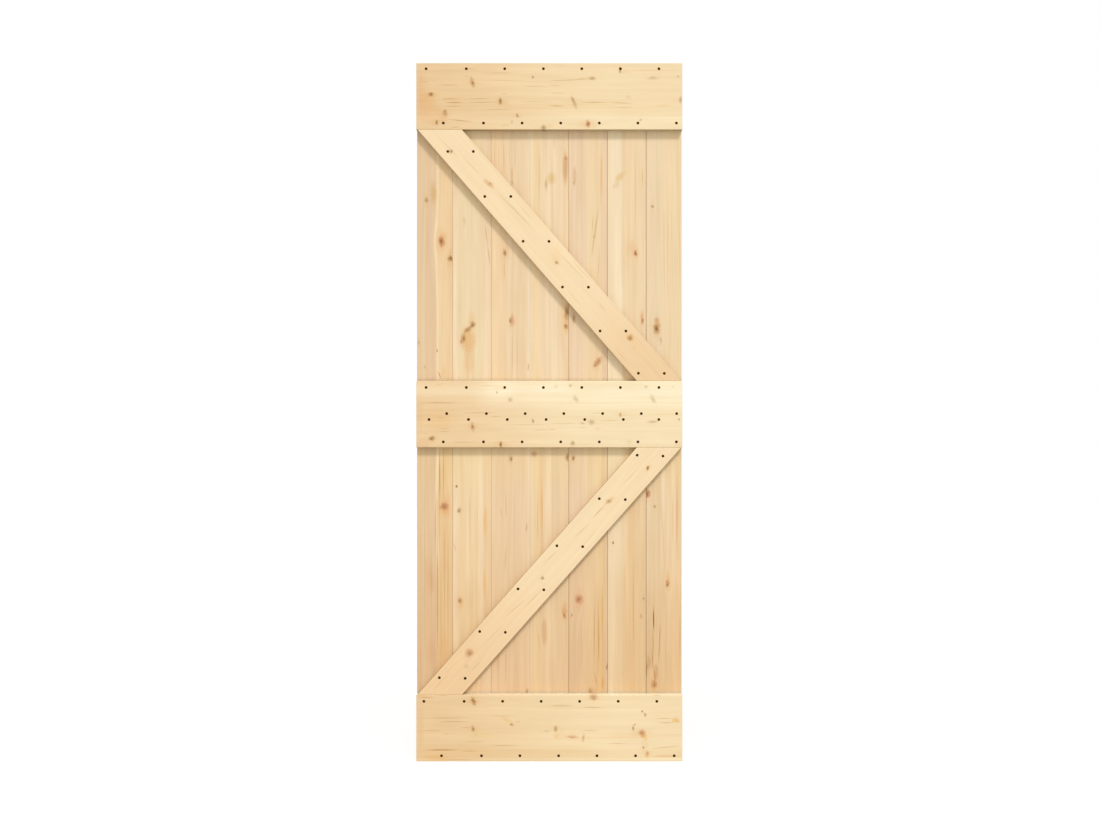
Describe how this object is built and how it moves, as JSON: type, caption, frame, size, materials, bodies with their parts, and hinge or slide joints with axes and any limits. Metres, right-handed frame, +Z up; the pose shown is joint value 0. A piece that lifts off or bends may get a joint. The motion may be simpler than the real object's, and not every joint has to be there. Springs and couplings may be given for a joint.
{
  "type": "ledged and braced sliding door leaf",
  "caption": "Unfinished knotty pine sliding door leaf: upright tongue-and-groove boards behind level rails and diagonal braces, held by dark countersunk screws.",
  "frame": {"origin": "middle of the top rail's front face, on the line where the strap hangers bolt on", "axes": "+X across the width, to the right seen from the front; +Y from the front face to the back; +Z up"},
  "size_m": [0.8, 0.04, 2.1],
  "materials": {
    "board_pine": "planed, unfinished",
    "rail_pine": "planed, unfinished",
    "brace_pine": "planed, unfinished",
    "screw_steel": "dark bronze-black plating"
  },
  "bodies": {
    "root": {"board_1": "board_pine", "board_2": "board_pine", "board_3": "board_pine", "board_4": "board_pine", "board_5": "board_pine", "board_6": "board_pine", "board_7": "board_pine", "top_rail": "rail_pine", "middle_rail": "rail_pine", "bottom_rail": "rail_pine", "upper_brace": "brace_pine", "lower_brace": "brace_pine", "top_rail_upper_screws": "screw_steel", "top_rail_lower_screws": "screw_steel", "middle_rail_first_screws": "screw_steel", "middle_rail_second_screws": "screw_steel", "middle_rail_third_screws": "screw_steel", "middle_rail_fourth_screws": "screw_steel", "bottom_rail_upper_screws": "screw_steel", "bottom_rail_lower_screws": "screw_steel", "upper_brace_left_screws": "screw_steel", "upper_brace_right_screws": "screw_steel", "lower_brace_left_screws": "screw_steel", "lower_brace_right_screws": "screw_steel"}
  },
  "joints": []
}
